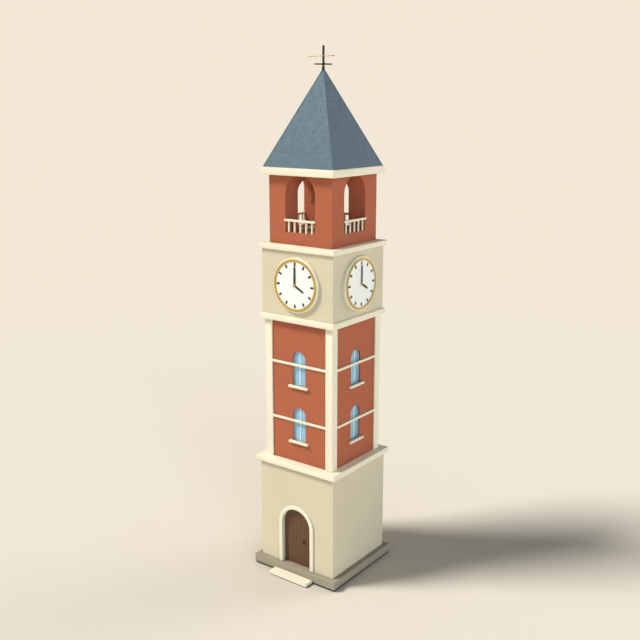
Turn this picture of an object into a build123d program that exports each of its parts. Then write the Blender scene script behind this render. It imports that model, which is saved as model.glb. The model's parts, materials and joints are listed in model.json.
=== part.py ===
from build123d import *
import os
from math import atan2, degrees, sqrt

# Clock tower: plinth, rendered base with an arched door, brick shaft with corner pilasters,
# clock stage with four dials, open belfry with a swinging bell, hipped spire and weathervane.
# Millimetres, +Z up. The origin is the centre of the plinth's underside; the door faces -Y.
# A piece that repeats on the four sides is made on the front (-Y) and turned about Z.

os.makedirs("parts", exist_ok=True)

# ---------------------------------------------------------------- driving dimensions
# stage heights, one above the other
plinth_height = 405
base_height = 4186
lower_cornice_height = 224
shaft_height = 5685
middle_cornice_height = 230
clock_stage_height = 2530
upper_cornice_height = 200
belfry_height = 2590
eaves_height = 285
roof_height = 3580

# half widths of the square stages
plinth_half = 2020
base_half = 1800
lower_cornice_half = 1935
pilaster_half = 1632
shaft_half = 1575
middle_cornice_half = 1772
clock_stage_half = 1683
upper_cornice_half = 1780
belfry_half = 1465
eaves_half = 1695
roof_half = 1623

# wall thicknesses
base_wall = 350
clock_wall = 250
roof_thickness = 90

# door step
step_width = 1880
step_depth = 400
step_height = 160

# doorway, surround and leaf
doorway_half = 694
door_spring = 2165
door_reveal = 125
surround_band = 166
surround_proud = 60
leaf_overlap = 40
leaf_thickness = 60
door_gap = 5
embrasure_clearance = 45
knob_offset = 300
knob_height = 1085
knob_radius = 64
knob_sides = 12
knob_edge_radius = 40
knob_stem_size = 32
knob_stem = 45
knob_depth = 42

# door hinges
hinge_count = 2
hinge_pin_radius = 10
hinge_knuckle_radius = 18
hinge_knuckle_height = 90
hinge_axis_outset = 20
hinge_axis_setback = 15
hinge_seat_height = 25
hinge_margin = 260
strap_length = 900
strap_thickness = 8
strap_height = 60

# shaft: corner pilasters, floor, windows, string courses and sills
pilaster_width = 330
shaft_floor_thickness = 150
window_half = 312
window_height = 1380
window_rise = 887
window_spacing = 2284
window_recess = 70
window_rebate = 40
frame_depth = 18
muntin_width = 62
glass_thickness = 12
string_rise = 785
string_height = 100
string_proud = 55
sill_half = 460
sill_height = 85
sill_proud = 110

# clock faces
surround_radius = 1060
surround_sides = 48
surround_depth = 120
dial_plate_radius = 950
dial_plate_sides = 12
dial_thickness = 12
bezel_inner_radius = 905
bezel_outer_radius = 1000
bezel_depth = 34
hand_thickness = 8
four_o_clock = 120
hour_hand_lift = 8
hour_hand_length = 470
hour_hand_width = 68
collet_radius = 48
collet_sides = 8
minute_hand_lift = 22
minute_hand_length = 720
minute_hand_width = 62
arbor_radius = 14
hub_radius = 58
hub_sides = 16
hub_height = 12

# belfry openings, parapet walls, deck and railings
arch_half = 695
arch_crown_over = 10
parapet_height = 470
parapet_thickness = 250
deck_below_parapet = 30
rail_height = 80
rail_depth = 110
rail_overlap = 20
rail_top_above_parapet = 495
baluster_size = 58
baluster_spacing = 272
baluster_count = 5

# bell, its headstock and clapper
bell_sides = 32
bell_lip_radius = 500
bell_height = 760
bell_bow_radius = 405
bell_bow_height = 130
bell_waist_radius = 322
bell_waist_height = 370
bell_shoulder_radius = 260
bell_shoulder_drop = 70
bell_wall = 34
bell_sound_bow = 62
bell_crown_size = 150
bell_crown_height = 60
headstock_size = 120
headstock_length = 500
pivot_below_slab = 220
trunnion_radius = 25
hanger_gap = 20
hanger_thickness = 32
hanger_width = 120
hanger_tail = 55
clapper_pin_radius = 10
clapper_drop = 75
clapper_eye_size = 48
clapper_rod_size = 28
clapper_ball_radius = 62
clapper_ball_end = 26
clapper_ball_height = 130
clapper_ball_sides = 12
clapper_length = 560
clapper_tail = 70
staple_width = 30
staple_gap = 34

# finial mast, compass arms and weathervane
mast_size = 84
mast_height = 805
mast_root = 130
mast_foot = 30
pole_sides = 16
collar_radius = 54
collar_sides = 8
collar_height = 12
crossbar_rise = 140
crossbar_size = 48
crossbar_length = 660
arm_angle = 45
vane_rise = 427
vane_hub_size = 112
vane_hub_height = 30
vane_bar_size = 18
vane_nose_length = 715
vane_tail_length = 505
vane_point_length = 130
vane_point_width = 40
vane_tail_plate = 150
vane_tail_height = 40
vane_tail_thickness = 6

# clearances
running_gap = 0.3
seat_gap = 0.5

# ---------------------------------------------------------------- levels worked out from them
base_floor = plinth_height
lower_cornice_bottom = base_floor + base_height
shaft_bottom = lower_cornice_bottom + lower_cornice_height
middle_cornice_bottom = shaft_bottom + shaft_height
clock_bottom = middle_cornice_bottom + middle_cornice_height
upper_cornice_bottom = clock_bottom + clock_stage_height
belfry_floor = upper_cornice_bottom + upper_cornice_height
eaves_bottom = belfry_floor + belfry_height
roof_bottom = eaves_bottom + eaves_height
roof_apex = roof_bottom + roof_height
clock_centre = clock_bottom + clock_stage_height / 2
arch_crown = eaves_bottom + arch_crown_over
arch_spring = arch_crown - arch_half
parapet_top = belfry_floor + parapet_height
shaft_wall = shaft_half - (pilaster_half - pilaster_width)
lower_window_sill = shaft_bottom + window_rise
window_sills_z = [lower_window_sill, lower_window_sill + window_spacing]
window_front = -shaft_half + window_recess
turns = {"front": 0, "right": 90, "back": 180, "left": 270}


# ---------------------------------------------------------------- helpers
def slab(x0, x1, y0, y1, z0, z1):
    """A block between two corners."""
    size = Box(x1 - x0, y1 - y0, z1 - z0)
    return Pos((x0 + x1) / 2, (y0 + y1) / 2, (z0 + z1) / 2) * size


def square_slab(half, z0, z1):
    return slab(-half, half, -half, half, z0, z1)


def arched_block(half, z0, spring, y0, y1):
    """A block with a half-round head, seen from the front, between the depths y0 and y1."""
    shaft = slab(-half, half, y0, y1, z0, spring)
    head = Pos(0, (y0 + y1) / 2, spring) * Rot(90, 0, 0) * Cylinder(half, y1 - y0)
    return shaft + (head & slab(-half, half, y0, y1, spring, spring + half))


def tapered(sides, *rings):
    """A many-sided solid about Z through rings, each an (inscribed radius, height) pair."""
    steps = []
    for pair in zip(rings, rings[1:]):
        (wide, wide_z), (narrow, narrow_z) = sorted(pair, reverse=True)
        height = abs(narrow_z - wide_z)
        slant = degrees(atan2(wide - narrow, height))
        step = extrude(RegularPolygon(wide, sides, major_radius=False), height, taper=slant)
        steps.append(Pos(0, 0, wide_z) * (step if narrow_z > wide_z else mirror(step, Plane.XY)))
    return steps[0] + steps[1:]


def turned(piece, side):
    return Rot(0, 0, turns[side]) * piece


def on_each_side(piece):
    return [turned(piece, side) for side in turns]


def on_dial(piece):
    """Moves a piece made on XY, facing +Z, to the front dial's centre on the clock stage's wall."""
    return Pos(0, -clock_stage_half, clock_centre) * Rot(90, 0, 0) * piece


def save(node, *pieces):
    solids = [solid for piece in pieces for solid in piece.solids()]
    export_step(Compound(children=solids), f"parts/{node}.step")


# ---------------------------------------------------------------- plinth, step and base
def make_plinth():
    save("plinth", square_slab(plinth_half, 0, base_floor))
    step_back = -plinth_half
    half = step_width / 2
    save("door_step", slab(-half, half, step_back - step_depth, step_back, 0, step_height))


embrasure_half = doorway_half + leaf_overlap + embrasure_clearance
embrasure_top = door_spring + embrasure_half
reveal_back = -base_half + door_reveal
base_inner = base_half - base_wall


def make_base():
    void = arched_block(doorway_half, base_floor, door_spring, -base_half, reveal_back)
    void += slab(-embrasure_half, embrasure_half, reveal_back, -base_inner, base_floor, embrasure_top)
    left = slab(-base_half, 0, -base_half, -base_inner, base_floor, door_spring) - void
    head = slab(-base_half, base_half, -base_half, -base_inner, door_spring, lower_cornice_bottom) - void
    save("base_front_left", left)
    save("base_front_right", mirror(left, Plane.YZ))
    save("base_front_head", head)
    back = slab(-base_half, base_half, base_inner, base_half, base_floor, lower_cornice_bottom)
    save("base_wall_back", back)
    side = slab(base_inner, base_half, -base_inner, base_inner, base_floor, lower_cornice_bottom)
    save("base_walls_sides", side, mirror(side, Plane.YZ))


# ---------------------------------------------------------------- door
leaf_half = doorway_half + leaf_overlap
leaf_front = reveal_back + door_gap
leaf_back = leaf_front + leaf_thickness
leaf_bottom = base_floor + door_gap
hinge_x = -leaf_half - hinge_axis_outset
hinge_y = leaf_back + hinge_axis_setback


def hinge_levels():
    low = leaf_bottom + hinge_margin
    high = door_spring - hinge_margin / 2
    return [low + (high - low) * n / (hinge_count - 1) for n in range(hinge_count)]


def make_hinge(level):
    """The moving strap with its knuckle, and the fixed pintle that it turns on."""
    top = level + hinge_knuckle_height
    knuckle = Pos(hinge_x, hinge_y, level) * extrude(Circle(hinge_knuckle_radius), hinge_knuckle_height)
    strap_z = level + (hinge_knuckle_height - strap_height) / 2
    strap = slab(hinge_x, -leaf_half + strap_length, leaf_back, leaf_back + strap_thickness,
                 strap_z, strap_z + strap_height)
    hole = extrude(Circle(hinge_pin_radius + running_gap), hinge_knuckle_height)
    moving = knuckle + strap - Pos(hinge_x, hinge_y, level) * hole
    pin_bottom = level - seat_gap - hinge_seat_height
    pin = Pos(hinge_x, hinge_y, pin_bottom) * extrude(Circle(hinge_pin_radius), top - pin_bottom)
    seat = slab(-embrasure_half, hinge_x + hinge_pin_radius, hinge_y - hinge_pin_radius,
                hinge_y + hinge_pin_radius, pin_bottom, level - seat_gap)
    return moving, pin + seat


def make_knob(side):
    """A twelve-sided knob on a square stem; side is -1 for the outer one and 1 for the inner one."""
    face = leaf_front if side < 0 else leaf_back
    knob = extrude(Rectangle(knob_stem_size, knob_stem_size), knob_stem)
    knob += tapered(knob_sides, (knob_edge_radius, knob_stem), (knob_radius, knob_stem + knob_depth / 2),
                    (knob_edge_radius, knob_stem + knob_depth))
    return Pos(knob_offset, face, base_floor + knob_height) * Rot(-90 * side, 0, 0) * knob


def make_door():
    outer = arched_block(doorway_half + surround_band, base_floor, door_spring,
                         -base_half - surround_proud, -base_half)
    inner = arched_block(doorway_half, base_floor, door_spring, -base_half - surround_proud, -base_half)
    save("door_surround", outer - inner)
    save("door_leaf", arched_block(leaf_half, leaf_bottom, door_spring, leaf_front, leaf_back))
    save("door_knobs", make_knob(-1), make_knob(1))
    hinges = [make_hinge(level) for level in hinge_levels()]
    save("door_straps", *[moving for moving, fixed in hinges])
    save("door_pintles", *[fixed for moving, fixed in hinges])


# ---------------------------------------------------------------- shaft
def cut_window(wall, sill):
    """Cuts the arched opening and the square-headed rebate behind it."""
    back = -shaft_half + shaft_wall
    half = window_half + window_rebate
    wall -= arched_block(window_half, sill, sill + window_height - window_half, -shaft_half, back)
    bottom, top = sill - window_rebate, sill + window_height + window_rebate
    return wall - slab(-half, half, window_front, back, bottom, top)


def make_window(sill):
    """The square-headed frame with its upright bar, and the pane behind it, both in the rebate."""
    half = window_half + window_rebate - seat_gap
    bottom, top = sill - window_rebate + seat_gap, sill + window_height + window_rebate - seat_gap
    frame_back = window_front + frame_depth
    frame = slab(-half, half, window_front, frame_back, bottom, top)
    frame -= slab(-window_half, window_half, window_front, frame_back, sill, sill + window_height)
    frame += slab(-muntin_width / 2, muntin_width / 2, window_front, frame_back, sill, sill + window_height)
    pane = slab(-half, half, frame_back, frame_back + glass_thickness, bottom, top)
    return frame, pane


def make_shaft():
    save("lower_cornice", square_slab(lower_cornice_half, lower_cornice_bottom, shaft_bottom))
    wall_end = pilaster_half - pilaster_width
    wall_back = -shaft_half + shaft_wall
    wall = slab(-wall_end, wall_end, -shaft_half, wall_back, shaft_bottom, middle_cornice_bottom)
    for sill in window_sills_z:
        wall = cut_window(wall, sill)
    save("shaft_walls_front_back", wall, turned(wall, "back"))
    save("shaft_walls_sides", turned(wall, "right"), turned(wall, "left"))
    post = slab(wall_end, pilaster_half, -pilaster_half, -wall_end, shaft_bottom, middle_cornice_bottom)
    save("shaft_pilasters", *on_each_side(post))
    floor_top = window_sills_z[1] - window_rise + shaft_floor_thickness
    save("shaft_floor", square_slab(wall_end, floor_top - shaft_floor_thickness, floor_top))
    frames, panes, strings, sills = [], [], [], []
    for sill in window_sills_z:
        frame, pane = make_window(sill)
        frames += on_each_side(frame)
        panes += on_each_side(pane)
        string = slab(-wall_end, wall_end, -shaft_half - string_proud, -shaft_half,
                      sill + string_rise, sill + string_rise + string_height)
        strings += on_each_side(string)
        ledge = slab(-sill_half, sill_half, -shaft_half - sill_proud, -shaft_half, sill - sill_height, sill)
        sills += on_each_side(ledge)
    save("window_frames", *frames)
    save("window_glass", *panes)
    save("string_courses", *strings)
    save("window_sills", *sills)
    save("middle_cornice", square_slab(middle_cornice_half, middle_cornice_bottom, clock_bottom))


# ---------------------------------------------------------------- clock stage
def make_blade(length, width):
    """The flat outline of a bar-shaped hand pointing along +Y, its tip cut to a blunt point."""
    tip = width * 0.3
    shoulder = length - width / 2
    return Polygon((-width / 2, 0), (width / 2, 0), (width / 2, shoulder), (tip, length),
                   (-tip, length), (-width / 2, shoulder), align=None)


def make_hands(side):
    """The hour hand on its collet, and the minute hand on the square arbor through it, at four o'clock."""
    hour_top, minute_top = hour_hand_lift + hand_thickness, minute_hand_lift + hand_thickness
    hour = extrude(RegularPolygon(collet_radius, collet_sides), hour_top - seat_gap)
    blade = extrude(make_blade(hour_hand_length, hour_hand_width), hand_thickness)
    hour = Pos(0, 0, seat_gap) * hour + Pos(0, 0, hour_hand_lift) * blade
    hour -= extrude(Circle(arbor_radius + running_gap), hour_top)
    minute = extrude(make_blade(minute_hand_length, minute_hand_width), hand_thickness)
    minute += extrude(RegularPolygon(hub_radius, hub_sides), hand_thickness + hub_height)
    minute = Pos(0, 0, minute_hand_lift) * minute
    square = arbor_radius * sqrt(2)
    minute += Pos(0, 0, seat_gap) * extrude(Rectangle(square, square), minute_top - seat_gap)
    dial_face = Pos(0, 0, surround_depth)
    save(f"minute_hand_{side}", turned(on_dial(dial_face * minute), side))
    save(f"hour_hand_{side}", turned(on_dial(dial_face * Rot(0, 0, -four_o_clock) * hour), side))


def make_dial():
    """The surround, and the twelve-sided dial plate let into it, its edge under the bezel."""
    pocket_floor = Pos(0, 0, surround_depth - dial_thickness)
    pocket = RegularPolygon(dial_plate_radius + seat_gap, dial_plate_sides)
    plate = RegularPolygon(dial_plate_radius, dial_plate_sides)
    surround = extrude(RegularPolygon(surround_radius, surround_sides), surround_depth)
    surround -= pocket_floor * extrude(pocket, dial_thickness)
    return surround, pocket_floor * extrude(plate, dial_thickness)


def make_bezel():
    """A ring of triangular section on the surround's face."""
    crest = (bezel_inner_radius + bezel_outer_radius) / 2
    section = Polyline((bezel_inner_radius, surround_depth), (bezel_outer_radius, surround_depth),
                       (crest, surround_depth + bezel_depth), (bezel_inner_radius, surround_depth))
    return revolve(Plane.XZ * make_face(section), Axis.Z)


def make_clock_stage():
    half, inner = clock_stage_half, clock_stage_half - clock_wall
    wall = slab(-half, half, -half, -inner, clock_bottom, upper_cornice_bottom)
    save("clock_walls_front_back", wall, turned(wall, "back"))
    side_wall = slab(inner, half, -inner, inner, clock_bottom, upper_cornice_bottom)
    save("clock_walls_sides", side_wall, mirror(side_wall, Plane.YZ))
    surround, plate = make_dial()
    save("clock_surrounds", *on_each_side(on_dial(surround)))
    save("clock_dials", *on_each_side(on_dial(plate)))
    save("clock_bezels", *on_each_side(on_dial(make_bezel())))
    for side in turns:
        make_hands(side)
    save("upper_cornice", square_slab(upper_cornice_half, upper_cornice_bottom, belfry_floor))


# ---------------------------------------------------------------- belfry
def make_belfry():
    """Corner piers under four arch heads, which stand apart because the arches rise past the eaves slab."""
    pier = slab(arch_half, belfry_half, -belfry_half, -arch_half, belfry_floor, arch_spring)
    save("belfry_piers", *on_each_side(pier))
    tunnel = arched_block(arch_half, belfry_floor, arch_spring, -belfry_half, belfry_half)
    block = square_slab(belfry_half, arch_spring, eaves_bottom)
    save("belfry_vault", block - tunnel - turned(tunnel, "right"))
    parapet_back = -belfry_half + parapet_thickness
    parapet = slab(-arch_half, arch_half, -belfry_half, parapet_back, belfry_floor, parapet_top)
    save("belfry_parapets", *on_each_side(parapet))
    deck_top = parapet_top - deck_below_parapet
    bay = slab(-arch_half, arch_half, parapet_back, -parapet_back, belfry_floor, deck_top)
    save("belfry_deck", bay + turned(bay, "right"))
    save("belfry_railings", *on_each_side(make_railing()))
    save("eaves_slab", square_slab(eaves_half, eaves_bottom, roof_bottom))


def make_railing():
    """A handrail let in between the piers, with horns over their faces, on square balusters."""
    rail_bottom = parapet_top + rail_top_above_parapet - rail_height
    rail_top = rail_bottom + rail_height
    reach = arch_half + rail_overlap
    back = -belfry_half + baluster_size
    front = back - rail_depth
    rail = slab(-arch_half, arch_half, front, back, rail_bottom, rail_top)
    rail += slab(-reach, reach, front, -belfry_half, rail_bottom, rail_top)
    half = baluster_size / 2
    for n in range(baluster_count):
        x = (n - (baluster_count - 1) / 2) * baluster_spacing
        rail += slab(x - half, x + half, -belfry_half, back, parapet_top, rail_bottom)
    return rail


# ---------------------------------------------------------------- bell
pivot_z = eaves_bottom - pivot_below_slab
bell_top = pivot_z - headstock_size / 2 - bell_crown_height
bell_lip = bell_top - bell_height
clapper_z = bell_top - bell_wall - clapper_drop
hanger_x = headstock_length / 2 + hanger_gap


def make_bell():
    """A hollow bell with a flared sound bow, waist and sloping shoulder, a square crown and the staple."""
    waist_z, shoulder_z = bell_lip + bell_waist_height, bell_top - bell_shoulder_drop
    top_radius = bell_shoulder_radius - bell_shoulder_drop
    bell = tapered(bell_sides, (bell_lip_radius, bell_lip), (bell_bow_radius, bell_lip + bell_bow_height),
                   (bell_waist_radius, waist_z), (bell_shoulder_radius, shoulder_z), (top_radius, bell_top))
    bell -= tapered(bell_sides, (bell_lip_radius - bell_sound_bow, bell_lip),
                    (bell_waist_radius - bell_wall, waist_z),
                    (bell_shoulder_radius - bell_wall, shoulder_z), (top_radius, bell_top - bell_wall))
    crown = Box(bell_crown_size, bell_crown_size, bell_crown_height)
    bell += Pos(0, 0, bell_top + bell_crown_height / 2) * crown
    ear_x = staple_gap / 2
    ear = slab(ear_x, ear_x + staple_width / 2, -staple_width / 2, staple_width / 2,
               clapper_z - staple_width / 2, bell_top - bell_wall / 2)
    bell += ear + mirror(ear, Plane.YZ)
    return bell + Pos(0, 0, clapper_z) * Rot(0, 90, 0) * Cylinder(clapper_pin_radius, staple_gap)


def make_clapper():
    """A forged square rod with a bored eye on the staple's pin, and a twelve-sided ball."""
    tip = clapper_length + clapper_tail
    eye = Box(staple_gap - 2 * seat_gap, clapper_eye_size, clapper_eye_size)
    rod = Pos(0, 0, -tip / 2) * Box(clapper_rod_size, clapper_rod_size, tip)
    half = clapper_ball_height / 2
    ball = tapered(clapper_ball_sides, (clapper_ball_end, -clapper_length - half),
                   (clapper_ball_radius, -clapper_length), (clapper_ball_end, half - clapper_length))
    clapper = eye + rod + ball - Rot(0, 90, 0) * Cylinder(clapper_pin_radius + running_gap, staple_gap)
    return Pos(0, 0, clapper_z) * clapper


def make_bell_frame():
    """The headstock with its trunnions, and the two hangers under the eaves slab."""
    stock = Pos(0, 0, pivot_z) * Box(headstock_length, headstock_size, headstock_size)
    trunnion_length = 2 * (hanger_x + hanger_thickness)
    trunnion = Pos(0, 0, pivot_z) * Rot(0, 90, 0) * Cylinder(trunnion_radius, trunnion_length)
    hanger = slab(hanger_x, hanger_x + hanger_thickness, -hanger_width / 2, hanger_width / 2,
                  pivot_z - hanger_tail, eaves_bottom)
    hanger -= Pos(0, 0, pivot_z) * Rot(0, 90, 0) * Cylinder(trunnion_radius + running_gap, trunnion_length)
    save("bell_headstock", stock + trunnion)
    save("bell_hangers", hanger, mirror(hanger, Plane.YZ))


# ---------------------------------------------------------------- roof, mast and weathervane
def pyramid(half, bottom, height):
    """A square pyramid, as a loft from its base to its apex."""
    base = Pos(0, 0, bottom) * Rectangle(2 * half, 2 * half)
    return Solid.make_loft([base.face().outer_wire(), Vertex(0, 0, bottom + height)], ruled=True)


def make_roof():
    """Four slopes mitred at the hips, their tips cut back around the square post of the finial."""
    slope = sqrt(roof_half ** 2 + roof_height ** 2)
    inner_half = roof_half - roof_thickness * slope / roof_height
    inner_height = roof_height * inner_half / roof_half
    shell = pyramid(roof_half, roof_bottom, roof_height) - pyramid(inner_half, roof_bottom, inner_height)
    quarter = Polygon((0, 0), (-roof_half, -roof_half), (roof_half, -roof_half), align=None)
    post = mast_size / 2 + seat_gap
    front = (shell & extrude(quarter, roof_apex)) - slab(-post, post, -post, post, roof_bottom, roof_apex)
    save("roof_slopes_front_back", front, turned(front, "back"))
    save("roof_slopes_sides", turned(front, "right"), turned(front, "left"))


def make_mast():
    """A square foot between the slopes, a many-sided pole with compass arms, a collar and a round pivot."""
    half = mast_size / 2
    pole_bottom = roof_apex + mast_foot
    collar_top = roof_apex + vane_rise - vane_hub_height / 2
    mast = slab(-half, half, -half, half, roof_apex - mast_root, pole_bottom)
    mast += Pos(0, 0, pole_bottom) * extrude(RegularPolygon(half, pole_sides), collar_top - pole_bottom)
    collar = extrude(RegularPolygon(collar_radius, collar_sides), collar_height)
    mast += Pos(0, 0, collar_top - collar_height) * collar
    mast += Pos(0, 0, collar_top) * extrude(Circle(half), roof_apex + mast_height - collar_top)
    arms = Pos(0, 0, roof_apex + crossbar_rise) * Box(crossbar_size, crossbar_length, crossbar_size)
    save("finial_mast", mast + Rot(0, 0, arm_angle) * arms + Rot(0, 0, -arm_angle) * arms)


def make_vane():
    """The arrow: a bored hub on the pivot, a square bar with a flat point, and a flat tail."""
    hub = Box(vane_hub_size, vane_hub_size, vane_hub_height - 2 * seat_gap)
    point_back = -vane_nose_length + vane_point_length
    half = vane_bar_size / 2
    arrow = hub + slab(point_back, vane_tail_length, -half, half, -half, half)
    point_half = vane_point_width / 2
    point = Polygon((-vane_nose_length, 0), (point_back, -point_half), (point_back, point_half), align=None)
    arrow += Rot(90, 0, 0) * extrude(point, half, both=True)
    tail_x = vane_tail_length - vane_tail_plate / 2
    arrow += Pos(tail_x, 0, 0) * Box(vane_tail_plate, vane_tail_thickness, vane_tail_height)
    arrow -= Cylinder(mast_size / 2 + running_gap, vane_hub_height)
    save("vane_arrow", Pos(0, 0, roof_apex + vane_rise) * arrow)


make_plinth()
make_base()
make_door()
make_shaft()
make_clock_stage()
make_belfry()
save("bell", make_bell())
save("bell_clapper", make_clapper())
make_bell_frame()
make_roof()
make_mast()
make_vane()
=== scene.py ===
import json
import random
from math import cos, pi, radians, sin, sqrt, tau

import bmesh
import bpy
from mathutils import Matrix, Vector


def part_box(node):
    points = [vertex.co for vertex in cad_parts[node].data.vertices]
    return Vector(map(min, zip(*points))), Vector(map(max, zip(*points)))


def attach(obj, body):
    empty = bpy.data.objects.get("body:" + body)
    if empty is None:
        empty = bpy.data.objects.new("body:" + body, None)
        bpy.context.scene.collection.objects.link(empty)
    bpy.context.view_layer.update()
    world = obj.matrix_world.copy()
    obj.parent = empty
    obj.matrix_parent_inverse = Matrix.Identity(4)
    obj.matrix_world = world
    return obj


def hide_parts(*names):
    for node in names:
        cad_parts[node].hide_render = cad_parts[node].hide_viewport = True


# Clock tower: looks, detail pieces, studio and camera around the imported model.
# Metres, +Z up, the door faces -Y. The pieces take their places and main sizes from the CAD nodes.

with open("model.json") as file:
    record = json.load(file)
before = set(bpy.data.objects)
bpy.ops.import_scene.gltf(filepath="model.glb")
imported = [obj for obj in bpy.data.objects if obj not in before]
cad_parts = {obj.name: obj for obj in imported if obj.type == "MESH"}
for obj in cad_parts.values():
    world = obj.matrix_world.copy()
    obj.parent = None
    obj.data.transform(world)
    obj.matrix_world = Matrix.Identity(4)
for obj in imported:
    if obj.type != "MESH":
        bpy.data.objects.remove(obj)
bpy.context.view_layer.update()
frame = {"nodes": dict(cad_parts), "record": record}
nodes = frame["nodes"]
SIDES = {"front": 0, "right": 90, "back": 180, "left": 270}
X, Y, Z = Vector((1, 0, 0)), Vector((0, 1, 0)), Vector((0, 0, 1))


# ---------------------------------------------------------------- materials
# colours of the painted shade in corners and of the painted contact shadow near the ground
CORNER_SHADE, FOOT_SHADOW = "3a3022", "2a241b"
SMOKED_BRICK, PALE_BRICK = "8d4731", "d17f59"
BRICK_LENGTH, BRICK_COURSE, BRICK_JOINT = 0.225, 0.075, 0.010
# the painted contact shadow near the ground: how far its top edge wavers, and the heights over which it fades
# out
FOOT_SHADOW_WAVER, FOOT_SHADOW_LOW, FOOT_SHADOW_HIGH = 0.012, 0.076, 0.090


def tone(code):
    """The linear colour of a hex code such as "e6d7b5"."""
    parts = [int(code[n:n + 2], 16) / 255 for n in (0, 2, 4)]
    return [v / 12.92 if v <= 0.04045 else ((v + 0.055) / 1.055) ** 2.4 for v in parts] + [1.0]


def shades(code, spread):
    """A colour a little darker and a little lighter than the hex code."""
    base = tone(code)[:3]
    return [v * (1 - spread) for v in base] + [1.0], [v * (1 + spread) for v in base] + [1.0]


class Look:
    """A material in the making: a Principled shader, and short calls that add a node each."""

    def __init__(self, **sockets):
        self.material = bpy.data.materials.new("look")
        self.material.use_nodes = True
        self.tree = self.material.node_tree
        self.shader = self.tree.nodes["Principled BSDF"]
        for socket, value in sockets.items():
            self.shader.inputs[socket.replace("_", " ")].default_value = value
        self.place = self.add("ShaderNodeTexCoord").outputs["Object"]

    def add(self, kind, inputs=None, **settings):
        node = self.tree.nodes.new(kind)
        for name, value in settings.items():
            setattr(node, name, value)
        for name, value in (inputs or {}).items():
            self.feed(node.inputs[name], value)
        return node

    def feed(self, socket, value):
        if isinstance(value, bpy.types.NodeSocket):
            self.tree.links.new(value, socket)
        else:
            socket.default_value = value

    def maths(self, operation, first, second=0.0):
        return self.add("ShaderNodeMath", {0: first, 1: second}, operation=operation).outputs[0]

    def stretched(self, across, deep, up):
        """Object coordinates multiplied along each axis."""
        inputs = {0: self.place, 1: (across, deep, up)}
        return self.add("ShaderNodeVectorMath", inputs, operation="MULTIPLY").outputs[0]

    def noise(self, scale, detail=4.0, place=None, rough=0.55):
        """A cloudy factor around 0.5, scale clouds to the metre."""
        inputs = {"Vector": place or self.place, "Scale": scale, "Detail": detail, "Roughness": rough}
        return self.add("ShaderNodeTexNoise", inputs).outputs["Fac"]

    def spread(self, fac, low, high, start=0.3, end=0.7):
        """Maps a factor's range from start to end, a noise's middle, to the range low to high."""
        inputs = {"Value": fac, "From Min": start, "From Max": end, "To Min": low, "To Max": high}
        return self.add("ShaderNodeMapRange", inputs).outputs["Result"]

    def occlusion(self, reach, samples):
        """How open a point is: 1 in the open, towards 0 in corners, within a reach in metres."""
        return self.add("ShaderNodeAmbientOcclusion", {"Distance": reach}, samples=samples).outputs["AO"]

    def blend(self, fac, first, second):
        mix = self.add("ShaderNodeMix", data_type="RGBA")
        for socket, value in zip((mix.inputs[0], mix.inputs[6], mix.inputs[7]), (fac, first, second)):
            self.feed(socket, value)
        return mix.outputs[2]

    def drift(self, fac, code, spread):
        """A colour that wanders with a noise factor to either side of a hex code."""
        return self.blend(self.spread(fac, 0.0, 1.0), *shades(code, spread))

    def colour(self, value):
        self.feed(self.shader.inputs["Base Color"], value)

    def roughness(self, fac, low, high):
        self.feed(self.shader.inputs["Roughness"], self.spread(fac, low, high))

    def painted_corner_shade(self, colour, reach, depth):
        """Darkens a colour in corners with painted shade, as ambient occlusion would, within a reach in
        metres.
        """
        corners = self.spread(self.occlusion(reach, samples=8), depth, 0.0, start=0.35, end=0.95)
        return self.blend(corners, colour, tone(CORNER_SHADE))

    def relief(self, *layers):
        """Stacks bumps, each a (height factor, depth in metres) pair, into the shader's normal."""
        normal = None
        for height, depth in layers:
            bump = self.add("ShaderNodeBump", {"Height": height, "Distance": depth, "Strength": 1.0})
            if normal:
                self.feed(bump.inputs["Normal"], normal)
            normal = bump.outputs["Normal"]
        self.feed(self.shader.inputs["Normal"], normal)

    def wall_place(self):
        """Coordinates along a wall (across it, up it), whichever of X and Y it faces."""
        normal = self.add("ShaderNodeNewGeometry").outputs["True Normal"]
        facing = self.add("ShaderNodeSeparateXYZ", {0: normal})
        point = self.add("ShaderNodeSeparateXYZ", {0: self.place})
        sideways = self.maths("GREATER_THAN", self.maths("ABSOLUTE", facing.outputs["X"]), 0.6)
        choice = {0: sideways, 2: point.outputs["X"], 3: point.outputs["Y"]}
        return self.add("ShaderNodeMix", choice).outputs[0], point.outputs["Z"]


def render_coat(code):
    """Smooth lime render: slow colour drift, trowel waves and fine grain."""
    look = Look(Specular_IOR_Level=0.25)
    grain = look.noise(260, detail=3)
    wash = look.drift(look.noise(0.9, detail=5), code, 0.025)
    # painted shade darkens the render in its corners
    look.colour(look.painted_corner_shade(wash, reach=0.09, depth=0.22))
    look.roughness(grain, 0.78, 0.92)
    look.relief((look.noise(4.5, detail=3), 0.004), (look.noise(38), 0.0010), (grain, 0.0004))
    return look.material


def cast_trim(code, rough=0.62):
    """Painted cast stone: almost even, with faint clouding, pinholes and a soft sheen."""
    look = Look(Specular_IOR_Level=0.35)
    cloud = look.noise(2.4, detail=5)
    pinholes = look.spread(look.noise(150, detail=2), 0.0, 1.0, start=0.25, end=0.4)
    # painted shade darkens the trim in its corners
    look.colour(look.painted_corner_shade(look.drift(cloud, code, 0.018), reach=0.07, depth=0.18))
    look.roughness(cloud, rough - 0.07, rough + 0.07)
    look.relief((look.noise(16, detail=3), 0.0012), (pinholes, 0.0005))
    return look.material


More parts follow.
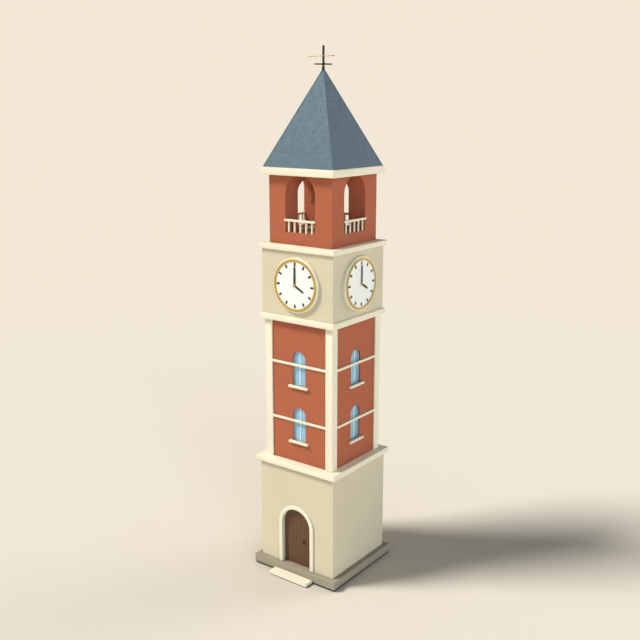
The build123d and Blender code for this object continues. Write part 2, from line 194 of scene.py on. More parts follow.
def brickwork(code, joint_code):
    """Running-bond brickwork at true size, its joints flush and close to the bricks in colour."""
    look = Look(Specular_IOR_Level=0.22)
    across, up = look.wall_place()
    dark, light = shades(code, 0.04)
    wall = look.add("ShaderNodeTexBrick", {
        "Vector": look.add("ShaderNodeCombineXYZ", {"X": across, "Y": up, "Z": 0.0}).outputs[0],
        "Color1": dark, "Color2": light, "Mortar": tone(joint_code), "Scale": 1.0,
        "Mortar Size": BRICK_JOINT / 2, "Mortar Smooth": 0.35,
        "Brick Width": BRICK_LENGTH, "Row Height": BRICK_COURSE})
    grit = look.noise(120)
    weather = look.spread(look.noise(1.1), 0.0, 0.07)
    weathered = look.blend(weather, wall.outputs["Color"], tone(SMOKED_BRICK))
    fired = look.blend(look.spread(grit, 0.0, 0.07), weathered, tone(PALE_BRICK))
    # painted shade darkens the brickwork in corners and window reveals
    look.colour(look.painted_corner_shade(fired, reach=0.8, depth=0.24))
    look.roughness(grit, 0.74, 0.92)
    brick_faces = look.maths("SUBTRACT", 1.0, wall.outputs["Fac"])
    look.relief((brick_faces, 0.0018), (look.noise(60, detail=3), 0.0005), (grit, 0.0003))
    return look.material


def slated(code):
    """Riven slate: a shade of its own on every slate, fine cleft waves running down the slope."""
    look = Look(Specular_IOR_Level=0.35)
    own_shade = look.add("ShaderNodeNewGeometry").outputs["Random Per Island"]
    riven = look.noise(9, detail=6, place=look.stretched(1, 1, 0.4), rough=0.6)
    body = look.blend(own_shade, *shades(code, 0.030))
    look.colour(look.blend(look.spread(riven, 0.0, 0.30), body, shades(code, 0.07)[1]))
    look.roughness(riven, 0.48, 0.66)
    look.relief((riven, 0.0020), (look.noise(70, detail=3), 0.0004))
    return look.material


def dressed_stone(code):
    """Sawn sandstone: speckle, soft bedding bands, and a painted contact shadow, dark below a wavering line
    near the ground.
    """
    look = Look(Specular_IOR_Level=0.25)
    bedding = look.noise(2.2, detail=6, place=look.stretched(1, 1, 7), rough=0.6)
    speckle = look.noise(190, detail=3)
    specks = look.spread(speckle, 0.0, 0.22, start=0.35, end=0.65)
    grained = look.blend(specks, look.drift(bedding, code, 0.05), shades(code, 0.35)[0])
    level = look.add("ShaderNodeSeparateXYZ", {0: look.place}).outputs["Z"]
    wavering = look.maths("ADD", level, look.maths("MULTIPLY", bedding, FOOT_SHADOW_WAVER))
    foot_shadow_mask = look.spread(wavering, 1.0, 0.0, start=FOOT_SHADOW_LOW, end=FOOT_SHADOW_HIGH)
    # a painted contact shadow near the ground, over painted shade in corners
    look.colour(look.blend(foot_shadow_mask, look.painted_corner_shade(grained, reach=0.22, depth=0.34), tone(FOOT_SHADOW)))
    look.roughness(speckle, 0.72, 0.9)
    look.relief((look.noise(9), 0.003), (speckle, 0.0006))
    return look.material


def boarded(code, grain_code, along=2):
    """Oiled hardwood with grain running along one axis, and a sheen of its own on every board."""
    look = Look(Specular_IOR_Level=0.4)
    across_grain, along_grain, pore_scale = 26.0, 1.3, 9
    stretch = [along_grain if axis == along else across_grain for axis in range(3)]
    figure = look.noise(1.0, detail=8, place=look.stretched(*stretch), rough=0.62)
    pores = look.noise(1.0, detail=3, place=look.stretched(*[v * pore_scale for v in stretch]), rough=0.5)
    grain = look.blend(look.spread(figure, 0.0, 1.0), tone(code), tone(grain_code))
    look.colour(look.blend(look.spread(pores, 0.0, 0.3), grain, shades(grain_code, 0.25)[0]))
    board = look.add("ShaderNodeObjectInfo").outputs["Random"]
    look.roughness(look.maths("ADD", figure, look.maths("MULTIPLY", board, 0.05)), 0.42, 0.62)
    look.relief((figure, 0.0012), (pores, 0.0004))
    return look.material


def metal(code, metallic, rough, scale=60.0, spread=0.06, dents=0.0004):
    """Metal with a hand-finished surface: slow tarnish and small dents."""
    look = Look(Metallic=metallic)
    scuffs = look.noise(scale)
    look.colour(look.drift(look.noise(scale * 0.1, detail=5), code, spread))
    look.roughness(scuffs, rough - 0.08, rough + 0.08)
    look.relief((look.noise(scale * 0.4, detail=3), dents * 2), (scuffs, dents))
    return look.material


def window_glass(code):
    """Blue-tinted panes that mirror the sky softly, with the slow waves of drawn glass."""
    look = Look(Specular_IOR_Level=0.6, Coat_Weight=0.35, Coat_Roughness=0.05)
    waves = look.noise(5.0, detail=2, place=look.stretched(1, 1, 0.35))
    look.colour(look.drift(waves, code, 0.05))
    look.roughness(waves, 0.16, 0.26)
    look.relief((waves, 0.003))
    return look.material


def enamel(code):
    """Vitreous enamel: even and glossy, with the faint ripple of the fired coat."""
    look = Look(Specular_IOR_Level=0.35)
    ripple = look.noise(9.0, detail=3)
    look.colour(look.drift(ripple, code, 0.008))
    look.roughness(ripple, 0.34, 0.46)
    look.relief((ripple, 0.0006))
    return look.material


def rough_cast(code):
    """A floated concrete floor with aggregate showing."""
    look = Look(Specular_IOR_Level=0.25)
    stones = look.noise(75, detail=3)
    look.colour(look.drift(look.noise(1.7, detail=5), code, 0.09))
    look.roughness(stones, 0.75, 0.95)
    look.relief((look.noise(6), 0.003), (stones, 0.0008))
    return look.material


LOOKS = {
    "plinth_stone": dressed_stone("a59a83"),
    "base_render": render_coat("d8cbab"),
    "cream_trim": cast_trim("f4e9ca"),
    "cream_trim_painted": cast_trim("f4e9ca", rough=0.48),
    "terracotta_brick": brickwork("b76444", joint_code="b26d51"),
    "door_wood": boarded("6d4b34", grain_code="634329"),
    "dark_iron": metal("2d2723", metallic=0.3, rough=0.48),
    "floor_concrete": rough_cast("96855f"),
    "window_frame": cast_trim("cfe6ee", rough=0.42),
    "window_glass": window_glass("92c2d4"),
    "dial_enamel": enamel("faf9ec"),
    "gilt": metal("c99e49", metallic=0.2, rough=0.36, scale=40.0, spread=0.05, dents=0.0003),
    "hand_black": metal("26241f", metallic=0.0, rough=0.42, scale=50.0, spread=0.05, dents=0.0002),
    "bell_bronze": metal("d6a268", metallic=0.15, rough=0.36, scale=22.0, spread=0.10, dents=0.0005),
    "oak_beam": boarded("7d5f42", grain_code="5b422d", along=0),
    "roof_slate": slated("50676f"),
}
for slot_name, material in LOOKS.items():
    material.name = slot_name
for subpart in frame["record"]["subparts"]:
    mesh = nodes[subpart["node"]].data
    mesh.materials.clear()
    mesh.materials.append(LOOKS[subpart["material_slot"]])


# ---------------------------------------------------------------- edges of the CAD nodes
def rounded(piece, width, segments, angle=40, harden=True):
    """Rounds a piece's edges a little, as cast, planed and forged pieces are."""
    bevel = piece.modifiers.new("soft_edges", "BEVEL")
    bevel.width = width
    bevel.segments = segments
    bevel.limit_method = "ANGLE"
    bevel.angle_limit = radians(angle)
    bevel.harden_normals = harden


def soften(width, *names, segments=3):
    """Rounds the edges of CAD nodes, whose faces are joined first."""
    for name in names:
        nodes[name].modifiers.new("joined_faces", "WELD").merge_threshold = 0.0001
        rounded(nodes[name], width, segments)
        nodes[name].data.shade_smooth()
        nodes[name].data.set_sharp_from_angle(angle=radians(40))


soften(0.022, "lower_cornice", "middle_cornice", "upper_cornice", "eaves_slab")
soften(0.012, "shaft_pilasters", "string_courses", "window_sills", "door_surround")
soften(0.006, "belfry_railings", "window_frames", "bell_headstock", segments=2)
soften(0.003, "finial_mast", "bell_hangers", "door_straps", segments=2)
soften(0.002, "vane_arrow", segments=2)


# ---------------------------------------------------------------- mesh helpers
def added(name, data):
    """A new object in the scene."""
    item = bpy.data.objects.new(name, data)
    bpy.context.scene.collection.objects.link(item)
    return item


def finish_piece(mesh_data, name, body, slot, smooth=35, replaces=()):
    """Turns a bmesh into an object with its material, riding on a CAD body.

    Edges that turn by less than smooth, in degrees, are shaded smooth.
    """
    mesh = bpy.data.meshes.new(name)
    bmesh.ops.remove_doubles(mesh_data, verts=mesh_data.verts, dist=1e-6)
    bmesh.ops.recalc_face_normals(mesh_data, faces=mesh_data.faces)
    mesh_data.to_mesh(mesh)
    mesh_data.free()
    mesh.shade_smooth()
    mesh.set_sharp_from_angle(angle=radians(smooth))
    mesh.materials.append(LOOKS[slot])
    piece = added(name, mesh)
    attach(piece, body)
    if replaces:
        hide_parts(*replaces)
    return piece


def axes(x, y, z, origin):
    """A placement from its three axes and its origin."""
    place = Matrix((x, y, z)).transposed().to_4x4()
    place.translation = origin
    return place


def facing(side):
    """The turn that takes the front of the tower to one of its sides."""
    return Matrix.Rotation(radians(SIDES[side]), 4, "Z")


def rectangle(left, low, right, high):
    """The corners of a rectangle, as (x, y) points."""
    return [(left, low), (right, low), (right, high), (left, high)]


def arc(centre, across, up, angles):
    """Points on an ellipse in the (radius, height) plane, at angles in degrees."""
    return [(centre[0] + across * cos(radians(a)), centre[1] + up * sin(radians(a))) for a in angles]


def skin(target, rings):
    """Joins each ring of vertices to the next with faces. A ring of one vertex is a point on the axis."""
    for low, high in zip(rings, rings[1:]):
        for n in range(max(len(low), len(high))):
            m = n + 1
            quad = [low[n % len(low)], low[m % len(low)], high[m % len(high)], high[n % len(high)]]
            corners = list(dict.fromkeys(quad))
            if len(corners) > 2:
                target.faces.new(corners)


def solid(target, rings):
    """Closes rings of vertices into a solid: a face on the first and on the last, and a skin between."""
    target.faces.new(rings[0])
    target.faces.new(rings[-1])
    skin(target, rings)


def lathe(target, outline, place, steps):
    """Turns an outline of (radius, height) points about its height axis and adds it at a placement."""
    turns = [tau * n / steps for n in range(steps)]
    rings = []
    for radius, height in outline:
        angles = turns if radius > 1e-6 else [0.0]
        ring = [Vector((radius * cos(a), radius * sin(a), height)) for a in angles]
        rings.append([target.verts.new(place @ point) for point in ring])
    skin(target, rings)


def slab(target, outline, depth, place, edge=0.0):
    """A flat plate: an outline of (x, y) points raised along z, its front edge chamfered."""
    levels = [(0.0, 0.0), (depth - edge, 0.0), (depth, edge)] if edge else [(0.0, 0.0), (depth, 0.0)]
    centre = Vector((sum(p[0] for p in outline), sum(p[1] for p in outline))) / len(outline)
    rings = []
    for height, inset in levels:
        ring = []
        for point in outline:
            arm = Vector(point) - centre
            reach = centre + arm * (1 - inset / max(arm.length, inset))
            ring.append(target.verts.new(place @ Vector((reach.x, reach.y, height))))
        rings.append(ring)
    solid(target, rings)


# ---------------------------------------------------------------- plinth and door step
PLINTH_FOOT, STEP_FOOT = 0.075, 0.036  # height of the set-back footings, dark with the stone's painted contact shadow
FOOT_LAP = 0.01  # how far a footing reaches up into its block


def make_block(name, node, slot, low, high, inset, edge, replaces=()):
    """A block between two levels of a CAD node's box, set back from its sides, with rounded edges."""
    lo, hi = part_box(node)
    block = bmesh.new()
    corners = rectangle(lo.x + inset, lo.y + inset, hi.x - inset, hi.y - inset)
    solid(block, [[block.verts.new((x, y, level)) for x, y in corners] for level in (low, high)])
    piece = finish_piece(block, name, "root", slot, smooth=40, replaces=replaces)
    rounded(piece, edge, segments=3)


make_block("plinth_block", "plinth", "plinth_stone", PLINTH_FOOT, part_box("plinth")[1].z,
           inset=0.0, edge=0.014, replaces=["plinth"])
make_block("plinth_footing", "plinth", "plinth_stone", 0.0, PLINTH_FOOT + FOOT_LAP, inset=0.030, edge=0.004)
make_block("step_block", "door_step", "cream_trim", STEP_FOOT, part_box("door_step")[1].z,
           inset=0.0, edge=0.010, replaces=["door_step"])
# the step's footing is in plinth stone, darkened by its painted contact shadow
make_block("step_footing", "door_step", "plinth_stone", 0.0, STEP_FOOT + FOOT_LAP, inset=0.020, edge=0.004)


# ---------------------------------------------------------------- roof covering
SLATE_WIDTH, SLATE_GAUGE = 0.25, 0.20
SLATE_LAP = 0.010  # how far a slate's head runs on under the next course
SLATE_TAIL, SLATE_HEAD, SLATE_SUNK = 0.005, 0.0012, 0.002  # above the slope at each end, and below it
TAIL_VARIES = 0.001
HALF_JOINT = (0.001, 0.002)  # least and most of a slate's share of the joint beside it
EAVES_MARGIN, HIP_MARGIN = 0.002, 0.003
LEAST_SLATE = 0.012  # narrower slivers at the hips are left out
ROLL_RADIUS, ROLL_START = 0.015, 0.006

roof_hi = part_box("roof_slopes_front_back")[1]
eaves_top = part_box("eaves_slab")[1].z
# The slopes stop at the mast. The apex is where they would meet.
slope_points = [v.co for v in nodes["roof_slopes_front_back"].data.vertices]
mast_half = max(point.x for point in slope_points if point.z > roof_hi.z - 0.001)
roof_apex = eaves_top + (roof_hi.z - eaves_top) * roof_hi.x / (roof_hi.x - mast_half)


def clipped(outline, normal, limit):
    """The part of a convex outline of (x, y) points where normal . point is within a limit."""
    kept = []
    for here, there in zip(outline, outline[1:] + outline[:1]):
        a = normal[0] * here[0] + normal[1] * here[1] - limit
        b = normal[0] * there[0] + normal[1] * there[1] - limit
        if a <= 0:
            kept.append(here)
        if (a < 0 < b) or (b < 0 < a):
            t = a / (a - b)
            kept.append((here[0] + t * (there[0] - here[0]), here[1] + t * (there[1] - here[1])))
    return kept


def add_slate(target, outline, foot, tail, place):
    """One slate, thick at its tail and thin at its head."""
    rings = [], []
    for x, y in outline:
        fall = (y - foot) / (SLATE_GAUGE + SLATE_LAP)
        for ring, height in zip(rings, (-SLATE_SUNK, tail * (1 - fall) + SLATE_HEAD * fall)):
            ring.append(target.verts.new(place @ Vector((x, y, height))))
    solid(target, rings)


def make_slates():
    """Slates in courses up the four slopes, half a slate out of step, cut to the hips."""
    pick = random.Random(11)
    slates = bmesh.new()
    run, rise = roof_hi.x, roof_apex - eaves_top
    slope = sqrt(run * run + rise * rise)
    top = slope * (roof_hi.z - eaves_top) / rise
    upright = axes(X, (0, run / slope, rise / slope), (0, -rise / slope, run / slope), (0, -run, eaves_top))
    for side in SIDES:
        place = facing(side) @ upright
        for course in range(int(top / SLATE_GAUGE) + 1):
            foot = course * SLATE_GAUGE + EAVES_MARGIN
            head = min((course + 1) * SLATE_GAUGE + EAVES_MARGIN + SLATE_LAP, top)
            count = int(run * (1 - foot / slope) / SLATE_WIDTH) + 2
            shift = 0.5 * (course % 2)
            for n in range(-count, count + 1):
                left = (n + shift) * SLATE_WIDTH + pick.uniform(*HALF_JOINT)
                right = (n + 1 + shift) * SLATE_WIDTH - pick.uniform(*HALF_JOINT)
                tail = SLATE_TAIL + pick.uniform(-TAIL_VARIES, TAIL_VARIES)
                outline = rectangle(left, foot, right, head)
                for way in (1, -1):
                    outline = clipped(outline, (way, run / slope), run - HIP_MARGIN)
                across = [x for x, _ in outline]
                if len(outline) > 2 and max(across) - min(across) >= LEAST_SLATE:
                    add_slate(slates, outline, foot, tail, place)
    finish_piece(slates, "roof_slates", "root", "roof_slate", smooth=20)


def make_hip_rolls():
    """A slim rounded roll over each hip."""
    rolls = bmesh.new()
    apex = Vector((0, 0, roof_apex))
    reach = roof_hi.x * sqrt(2)
    for side in SIDES.values():
        turn = radians(side + 45)
        corner = Vector((reach * cos(turn), reach * sin(turn), eaves_top))
        hip = (apex - corner).normalized()
        length = (apex - corner).length * (roof_hi.z - eaves_top) / (roof_apex - eaves_top)
        place = Matrix.Translation(corner) @ hip.to_track_quat("Z", "Y").to_matrix().to_4x4()
        nose = arc((0.0, ROLL_START + ROLL_RADIUS), ROLL_RADIUS, ROLL_RADIUS, (-75, -56.25, -37.5, -18.75, 0))
        outline = [(0.0, ROLL_START)] + nose + [(ROLL_RADIUS, length), (0.0, length)]
        lathe(rolls, outline, place, steps=16)
    finish_piece(rolls, "hip_rolls", "root", "roof_slate", smooth=50)


make_slates()
make_hip_rolls()


# ---------------------------------------------------------------- clock faces
BEZEL_WIDTH, BEZEL_SHOULDER = 0.096, 0.45  # the shoulder is a share of the bezel's depth
RIM_ROUND = 0.020
POCKET_DEPTH, POCKET_MARGIN = 0.0125, 0.02  # the seat of the dial plate, hidden under the bezel
MARK_OUTER, MARK_LENGTH, MARK_WIDTH, MARK_DEPTH, MARK_CHAMFER = 0.872, 0.142, 0.076, 0.008, 0.003
HAND_DEPTH, HAND_ROOT, HAND_EDGE = 0.008, 0.084, 0.002
MINUTE_LIFT, MINUTE_TIP, BOSS_RADIUS, BOSS_DROP = 0.022, 0.076, 0.056, 0.001
HOUR_LIFT, HOUR_TIP, HOUR_START, HOUR_LENGTH = 0.008, 0.080, 0.030, 0.470
ARBOR, COLLET, COLLET_DROP, BORE_CLEAR, DIAL_CLEAR = 0.016, 0.047, 0.0005, 0.004, 0.0005
CAP_RADIUS, CAP_LIP, CAP_SKIRT, CAP_SUNK, CAP_RISE = 0.060, 0.004, 0.010, 0.014, 0.006

surround_lo, surround_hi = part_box("clock_surrounds")
bezel_lo, bezel_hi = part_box("clock_bezels")
wall_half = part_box("clock_walls_front_back")[1].y
clock_centre = (surround_lo.z + surround_hi.z) / 2
surround_radius = (surround_hi.z - surround_lo.z) / 2
bezel_radius = (bezel_hi.z - bezel_lo.z) / 2
face_level = surround_hi.y - wall_half
bezel_level = bezel_hi.y - wall_half


def dial_place(side, level=0.0):
    """A placement on a dial: x to the viewer's right, y up, z out of the wall, from a level over its face."""
    upright = axes(X, Z, -Y, (0, -wall_half, clock_centre))
    return facing(side) @ upright @ Matrix.Translation((0, 0, level))


def make_clock_rings():
    """The round surrounds with a softened rim, and the gilt bezels with a rounded bead."""
    surrounds, bezels = bmesh.new(), bmesh.new()
    inner = bezel_radius - BEZEL_WIDTH
    pocket_radius, pocket_level = inner + POCKET_MARGIN, face_level - POCKET_DEPTH
    bead_depth = bezel_level - face_level
    shoulder = face_level + bead_depth * BEZEL_SHOULDER
    rim = [(0.0, 0.0), (surround_radius, 0.0)]
    rim += arc((surround_radius - RIM_ROUND, face_level - RIM_ROUND), RIM_ROUND, RIM_ROUND, range(0, 91, 15))
    rim += [(pocket_radius, face_level), (pocket_radius, pocket_level), (0.0, pocket_level)]
    bead = [(bezel_radius, face_level), (bezel_radius, shoulder)]
    half = BEZEL_WIDTH / 2
    bead += arc((inner + half, shoulder), half, bezel_level - shoulder, range(15, 180, 15))
    bead += [(inner, shoulder), (inner, face_level), (bezel_radius, face_level)]
    for side in SIDES:
        lathe(surrounds, rim, dial_place(side), steps=144)
        lathe(bezels, bead, dial_place(side), steps=144)
    finish_piece(surrounds, "surround_rims", "root", "cream_trim", replaces=["clock_surrounds"])
    finish_piece(bezels, "bezel_beads", "root", "gilt", smooth=50, replaces=["clock_bezels"])


def make_hour_marks():
    """Twelve plain bars on each dial."""
    marks = bmesh.new()
    bar = rectangle(-MARK_WIDTH / 2, MARK_OUTER - MARK_LENGTH, MARK_WIDTH / 2, MARK_OUTER)
    for side in SIDES:
        for hour in range(12):
            place = dial_place(side, face_level) @ Matrix.Rotation(tau * hour / 12, 4, "Z")
            slab(marks, bar, MARK_DEPTH, place, MARK_CHAMFER)
    finish_piece(marks, "hour_marks", "root", "hand_black", smooth=20)


def blade(length, root, tip):
    """The flat outline of a hand along +Y: a bar with a slight taper and a blunt point."""
    shoulder, point = length - tip / 2, tip * 0.28
    return [(-root / 2, 0.0), (root / 2, 0.0), (tip / 2, shoulder), (point, length), (-point, length),
            (-tip / 2, shoulder)]


def make_minute_hand(side):
    """The minute hand at twelve, on its round boss and arbor."""
    node = f"minute_hand_{side}"
    place = dial_place(side, face_level)
    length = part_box(node)[1].z - clock_centre
    underside, top = MINUTE_LIFT - BOSS_DROP, MINUTE_LIFT + HAND_DEPTH
    hand = bmesh.new()
    slab(hand, blade(length, HAND_ROOT, MINUTE_TIP), HAND_DEPTH, dial_place(side, face_level + MINUTE_LIFT))
    lathe(hand, [(0.0, DIAL_CLEAR), (ARBOR, DIAL_CLEAR), (ARBOR, underside), (BOSS_RADIUS, underside),
                 (BOSS_RADIUS, top), (0.0, top)], place, steps=40)
    piece = finish_piece(hand, f"hand_minute_{side}", node, "hand_black", smooth=30, replaces=[node])
    rounded(piece, HAND_EDGE, segments=2)


def make_hour_hand(side):
    """The hour hand at four, on a collet that is bored for the minute hand's arbor."""
    node = f"hour_hand_{side}"
    place = dial_place(side, face_level)
    four = Matrix.Rotation(-tau * 4 / 12, 4, "Z") @ Matrix.Translation((0, HOUR_START, HOUR_LIFT))
    bore, top = ARBOR + BORE_CLEAR, HOUR_LIFT + HAND_DEPTH - COLLET_DROP
    hand = bmesh.new()
    slab(hand, blade(HOUR_LENGTH - HOUR_START, HAND_ROOT, HOUR_TIP), HAND_DEPTH, place @ four)
    lathe(hand, rectangle(bore, DIAL_CLEAR, COLLET, top) + [(bore, DIAL_CLEAR)], place, steps=40)
    piece = finish_piece(hand, f"hand_hour_{side}", node, "hand_black", smooth=30, replaces=[node])
    rounded(piece, HAND_EDGE, segments=2)


def make_hub_cap(side):
    """A turned gilt cap over the minute hand's hub."""
    lo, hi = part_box(f"minute_hand_{side}")
    reach = max(abs(lo.x), abs(lo.y), abs(hi.x), abs(hi.y)) - wall_half
    base, crest = reach - CAP_SUNK, reach + CAP_RISE
    skirt = base + CAP_SKIRT
    cap = bmesh.new()
    outline = [(0.0, base), (CAP_RADIUS, base), (CAP_RADIUS + CAP_LIP, base + CAP_LIP), (CAP_RADIUS, skirt)]
    outline += arc((0.0, skirt), CAP_RADIUS, crest - skirt, range(15, 90, 15)) + [(0.0, crest)]
    lathe(cap, outline, dial_place(side), steps=48)
    finish_piece(cap, f"hub_cap_{side}", f"minute_hand_{side}", "gilt")


make_clock_rings()
make_hour_marks()
for side_name in SIDES:
    make_minute_hand(side_name)
    make_hour_hand(side_name)
    make_hub_cap(side_name)


# ---------------------------------------------------------------- bell and clapper
# The casting's section, as shares of the lip's radius and of the height from the lip to the shoulder.
BELL_OUTSIDE = [
    (0.0, 1.0), (0.36, 0.990), (0.44, 0.968), (0.505, 0.925), (0.535, 0.875), (0.553, 0.810), (0.568, 0.800),
    (0.568, 0.785), (0.560, 0.775), (0.585, 0.68), (0.62, 0.56), (0.66, 0.45), (0.715, 0.34), (0.79, 0.235),
    (0.865, 0.155), (0.878, 0.145), (0.875, 0.135), (0.885, 0.12), (0.95, 0.07), (0.995, 0.02), (1.0, 0.0)]
BELL_INSIDE = [
    (0.885, 0.0), (0.84, 0.09), (0.74, 0.2), (0.655, 0.33), (0.59, 0.46), (0.55, 0.58), (0.515, 0.7),
    (0.49, 0.82), (0.45, 0.89), (0.36, 0.935), (0.0, 0.945)]
BELL_INSET = 0.992  # keeps the round lip inside the CAD bell's width
CROWN_HEIGHT, CROWN_WIDTH, CROWN_SUNK = 0.060, 0.150, 0.004
EAR_INNER, EAR_OUTER, EAR_HALF, EAR_DROP, EAR_HEAD = 0.017, 0.032, 0.015, 0.040, 0.030
BALL_RISE, BALL_INSET, BALL_STRETCH = 0.070, 0.965, 1.02
EYE_RADIUS, EYE_BORE, EYE_HALF = 0.026, 0.0105, 0.0155
SHANK_TOP = 0.045  # down from the eye's top


def make_bell():
    """The cast bell with raised bands, its square crown, and inside it the two ears that hold the clapper."""
    lo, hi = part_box("bell")
    radius, top = hi.x * BELL_INSET, hi.z - CROWN_HEIGHT
    height = top - lo.z
    casting = bmesh.new()
    section = [(radius * r, lo.z + height * z) for r, z in BELL_OUTSIDE + BELL_INSIDE]
    lathe(casting, section, Matrix.Identity(4), steps=128)
    half = CROWN_WIDTH / 2
    slab(casting, rectangle(-half, -half, half, half), CROWN_HEIGHT + CROWN_SUNK,
         Matrix.Translation((0, 0, top - CROWN_SUNK)))
    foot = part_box("bell_clapper")[1].z - EAR_DROP
    for way in (1, -1):
        ear = rectangle(way * EAR_INNER, -EAR_HALF, way * EAR_OUTER, EAR_HALF)
        slab(casting, ear, top - EAR_HEAD - foot, Matrix.Translation((0, 0, foot)))
    finish_piece(casting, "bell_casting", "bell", "bell_bronze", smooth=30, replaces=["bell"])


def make_clapper():
    """The clapper: a forged eye, a tapered round shank, and a round ball with its flight below."""
    lo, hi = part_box("bell_clapper")
    ball_z, ball = lo.z + BALL_RISE, hi.x * BALL_INSET
    clapper = bmesh.new()
    outline = [(0.0, lo.z), (0.012, lo.z + 0.002), (0.014, lo.z + 0.010), (0.013, ball_z - 0.064)]
    outline += arc((0.0, ball_z), ball, ball * BALL_STRETCH, range(-70, 60, 10))
    outline += [(0.026, ball_z + 0.075), (0.017, ball_z + 0.12), (0.014, ball_z + 0.35)]
    outline += [(0.013, hi.z - 0.055), (0.015, hi.z - SHANK_TOP), (0.0, hi.z - SHANK_TOP)]
    lathe(clapper, outline, Matrix.Identity(4), steps=40)
    eye = [(EYE_RADIUS, -EYE_HALF), (EYE_RADIUS, EYE_HALF), (EYE_BORE, EYE_HALF), (EYE_BORE, -EYE_HALF),
           (EYE_RADIUS, -EYE_HALF)]
    across = Matrix.Translation((0, 0, hi.z - EYE_RADIUS)) @ Matrix.Rotation(pi / 2, 4, "Y")
    lathe(clapper, eye, across, steps=40)
    finish_piece(clapper, "clapper_forging", "clapper", "dark_iron", smooth=40, replaces=["bell_clapper"])


make_bell()
make_clapper()


# ---------------------------------------------------------------- door
BOARD_COUNT, BOARD_DEPTH, HALF_GAP, BOARD_CHAMFER, HEAD_STEPS = 7, 0.036, 0.0015, 0.006, 8
LEDGE_INSET, LEDGE_HALF, LEDGE_CHAMFER = 0.05, 0.085, 0.006
KNOB_SHARE, KNOB_HALF = 0.95, 0.024  # of the CAD knob's radius, and the knob's depth from its middle
ROSE_RADIUS, NECK_RADIUS = 0.058, 0.015
STRAP_HALF, STRAP_THICKNESS = 0.045, 0.008
RIVET_COUNT, RIVET_INSET, RIVET_SPACING = 5, 0.045, 0.175
RIVET_HEAD = [(0.0, 0.0), (0.009, 0.0), (0.0085, 0.003), (0.005, 0.0055), (0.0, 0.0062)]

leaf_lo, leaf_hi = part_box("door_leaf")
strap_lo, strap_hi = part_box("door_straps")
knob_lo, knob_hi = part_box("door_knobs")
strap_levels = (strap_lo.z + STRAP_HALF, strap_hi.z - STRAP_HALF)


def make_boards():
    """Upright boards with chamfered edges, cut to the arch, and two ledges behind them under the straps."""
    half, spring = leaf_hi.x, leaf_hi.z - leaf_hi.x
    width = 2 * half / BOARD_COUNT
    board_back = leaf_lo.y + BOARD_DEPTH
    for n in range(BOARD_COUNT):
        left, right = -half + n * width + HALF_GAP, -half + (n + 1) * width - HALF_GAP
        xs = [right + (left - right) * k / HEAD_STEPS for k in range(HEAD_STEPS + 1)]
        head = [(x, spring + sqrt(max(half * half - x * x, 0.0))) for x in xs]
        outline = [(left, leaf_lo.z), (right, leaf_lo.z)] + head
        board = bmesh.new()
        slab(board, outline, BOARD_DEPTH, axes(X, Z, -Y, (0, board_back, 0)))
        name = f"door_board_{n + 1}"
        piece = finish_piece(board, name, "door", "door_wood", smooth=25, replaces=["door_leaf"])
        rounded(piece, BOARD_CHAMFER, segments=2, angle=50, harden=False)
    reach = half - LEDGE_INSET
    outline = rectangle(-reach, -LEDGE_HALF, reach, LEDGE_HALF)
    for n, level in enumerate(strap_levels):
        ledge = bmesh.new()
        slab(ledge, outline, leaf_hi.y - board_back, axes(X, Z, Y, (0, board_back, level)), LEDGE_CHAMFER)
        finish_piece(ledge, f"door_ledge_{n + 1}", "door", "door_wood", smooth=20, replaces=["door_leaf"])


def make_knobs():
    """Turned iron knobs on round roses, outside and inside."""
    knobs = bmesh.new()
    across, height = (knob_lo.x + knob_hi.x) / 2, (knob_lo.z + knob_hi.z) / 2
    radius = (knob_hi.z - knob_lo.z) / 2 * KNOB_SHARE
    outside = (leaf_lo.y, leaf_lo.y - knob_lo.y, pi / 2)
    inside = (leaf_hi.y, knob_hi.y - leaf_hi.y, -pi / 2)
    for face, reach, turn in (outside, inside):
        place = Matrix.Translation((across, face, height)) @ Matrix.Rotation(turn, 4, "X")
        middle = reach - KNOB_HALF
        outline = [(0.0, 0.0), (ROSE_RADIUS, 0.0), (ROSE_RADIUS, 0.004), (0.051, 0.008), (0.022, 0.010)]
        outline += [(NECK_RADIUS, 0.018), (NECK_RADIUS, middle - 0.026)]
        outline += arc((0.0, middle), radius, KNOB_HALF, range(-60, 90, 12)) + [(0.0, reach)]
        lathe(knobs, outline, place, steps=48)
    finish_piece(knobs, "turned_knobs", "door", "dark_iron", smooth=40, replaces=["door_knobs"])


def make_rivets():
    """Round rivet heads along the straps."""
    rivets = bmesh.new()
    for level in strap_levels:
        for n in range(RIVET_COUNT):
            point = (strap_hi.x - RIVET_INSET - n * RIVET_SPACING, leaf_hi.y + STRAP_THICKNESS, level)
            place = Matrix.Translation(point) @ Matrix.Rotation(-pi / 2, 4, "X")
            lathe(rivets, RIVET_HEAD, place, steps=16)
    finish_piece(rivets, "strap_rivets", "door", "dark_iron", smooth=50)


make_boards()
make_knobs()
make_rivets()


# ---------------------------------------------------------------- studio
BACKDROP, FLOOR, FLOOR_SHADE = "f2e8d5", "ede4d0", "2e2a24"
FLOOR_HALF, FLOOR_DEPTH = 400.0, 0.05
FADE_START, FADE_END = 14.0, 60.0
AMBIENT_COLOUR, AMBIENT = (0.85, 1.0, 1.0, 1.0), 0.04
CAMERA_POINT = (20.19791, -27.42148, 18.61881)
CAMERA_RIGHT = Vector((0.80293592, 0.59606536, 0.0))
CAMERA_UP = Vector((-0.14115636, 0.19014611, 0.97155511))
CAMERA_LENS, CAMERA_REACH = 49.84, 1500.0


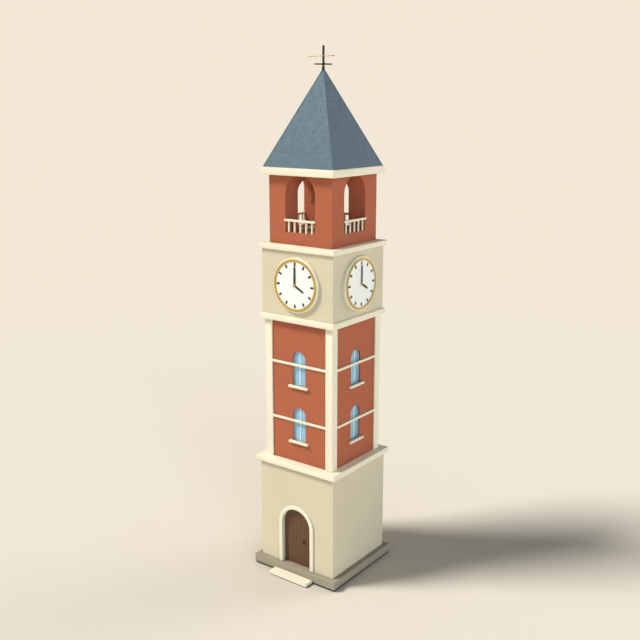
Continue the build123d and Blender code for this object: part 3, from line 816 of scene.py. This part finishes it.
def floor_paint():
    """Matt pale paint, with painted shade around the tower, passing into the backdrop's own light far from
    it.
    """
    look = Look(Roughness=1.0, Specular_IOR_Level=0.0)
    look.material.name = "studio_floor"
    paint = look.blend(look.noise(0.35, detail=3), *shades(FLOOR, 0.003))
    # painted shade on the floor, darkest beside the tower
    painted_floor_shade = look.spread(look.occlusion(20.0, samples=16), 0.31, 0.0, start=0.5, end=1.0)
    look.colour(look.blend(painted_floor_shade, paint, tone(FLOOR_SHADE)))
    distance = look.add("ShaderNodeVectorMath", {0: look.place}, operation="LENGTH").outputs["Value"]
    far = look.spread(distance, 0.0, 1.0, start=FADE_START, end=FADE_END)
    glow = look.add("ShaderNodeEmission", {"Color": tone(BACKDROP), "Strength": 1.0}).outputs[0]
    mix = look.add("ShaderNodeMixShader", {0: far, 1: look.shader.outputs[0], 2: glow})
    look.feed(look.tree.nodes["Material Output"].inputs["Surface"], mix.outputs[0])
    return look.material


def make_floor():
    """A wide pale floor that takes on the backdrop's colour far behind the tower."""
    floor = bmesh.new()
    square = rectangle(-FLOOR_HALF, -FLOOR_HALF, FLOOR_HALF, FLOOR_HALF)
    slab(floor, square, FLOOR_DEPTH, Matrix.Translation((0, 0, -FLOOR_DEPTH)))
    floor_mesh = bpy.data.meshes.new("studio_floor")
    floor.to_mesh(floor_mesh)
    floor.free()
    floor_mesh.materials.append(floor_paint())
    added("studio_floor", floor_mesh)


def make_world():
    """Even studio light, and the backdrop's colour where the camera sees past the floor."""
    world = bpy.data.worlds.new("studio")
    bpy.context.scene.world = world
    world.use_nodes = True
    tree = world.node_tree
    ambient = tree.nodes["Background"]
    ambient.inputs["Color"].default_value = AMBIENT_COLOUR
    ambient.inputs["Strength"].default_value = AMBIENT
    backdrop = tree.nodes.new("ShaderNodeBackground")
    backdrop.inputs["Color"].default_value = tone(BACKDROP)
    seen = tree.nodes.new("ShaderNodeLightPath")
    mix = tree.nodes.new("ShaderNodeMixShader")
    tree.links.new(seen.outputs["Is Camera Ray"], mix.inputs[0])
    tree.links.new(ambient.outputs[0], mix.inputs[1])
    tree.links.new(backdrop.outputs[0], mix.inputs[2])
    tree.links.new(mix.outputs[0], tree.nodes["World Output"].inputs["Surface"])


def make_sun(name, toward, strength, angle, colour):
    """A sun that shines from a direction, with a soft disc of an angle in degrees."""
    light = bpy.data.lights.new(name, "SUN")
    light.energy = strength
    light.angle = radians(angle)
    light.color = colour
    added(name, light).rotation_euler = Vector(toward).to_track_quat("Z", "Y").to_euler()


def make_camera():
    """The camera of the reference view: from the front right, above the middle of the tower."""
    camera = bpy.data.cameras.new("camera")
    camera.lens = CAMERA_LENS
    camera.clip_end = CAMERA_REACH
    holder = added("camera", camera)
    holder.matrix_world = axes(CAMERA_RIGHT, CAMERA_UP, CAMERA_RIGHT.cross(CAMERA_UP), CAMERA_POINT)
    bpy.context.scene.camera = holder


bpy.context.scene.view_settings.view_transform = "Standard"
make_floor()
make_world()
make_sun("key", toward=(-0.4817, -0.4531, 0.75), strength=3.48, angle=18, colour=(1.0, 0.975, 0.985))
make_sun("rim", toward=(0.4516, 0.8493, 0.276), strength=1.36, angle=38, colour=(0.98, 0.90, 0.95))
make_sun("fill", toward=(0.80, -0.57, 0.20), strength=1.56, angle=30, colour=(0.58, 0.79, 1.0))
make_camera()
